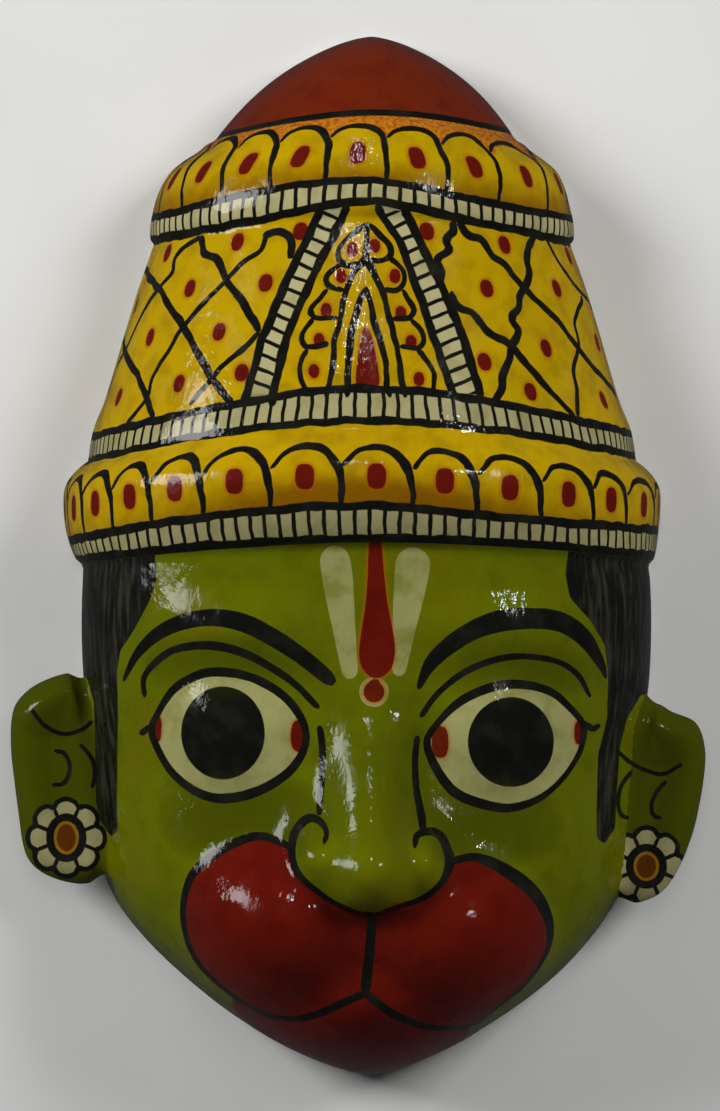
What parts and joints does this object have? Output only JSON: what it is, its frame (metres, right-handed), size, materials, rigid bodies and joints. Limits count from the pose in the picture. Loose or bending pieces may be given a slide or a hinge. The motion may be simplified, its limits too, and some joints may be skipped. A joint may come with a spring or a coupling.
{
  "type": "face mask",
  "caption": "Moulded monkey-faced festival mask with a tall banded crown, side ears and a hollow open back, lying on its flat rim.",
  "frame": {"origin": "centre of the underside: the middle of the flat rim's plane", "axes": "+Z out of the face, away from the surface the mask lies on; +Y from the chin to the crown's tip; +X to the viewer's right as the face is looked at"},
  "size_m": [0.2539, 0.38, 0.1131],
  "materials": {
    "painted_paste": "sawdust paste, primed, painted and varnished glossy; bare and matt inside"
  },
  "bodies": {
    "root": {"mask": "painted_paste"}
  },
  "joints": []
}
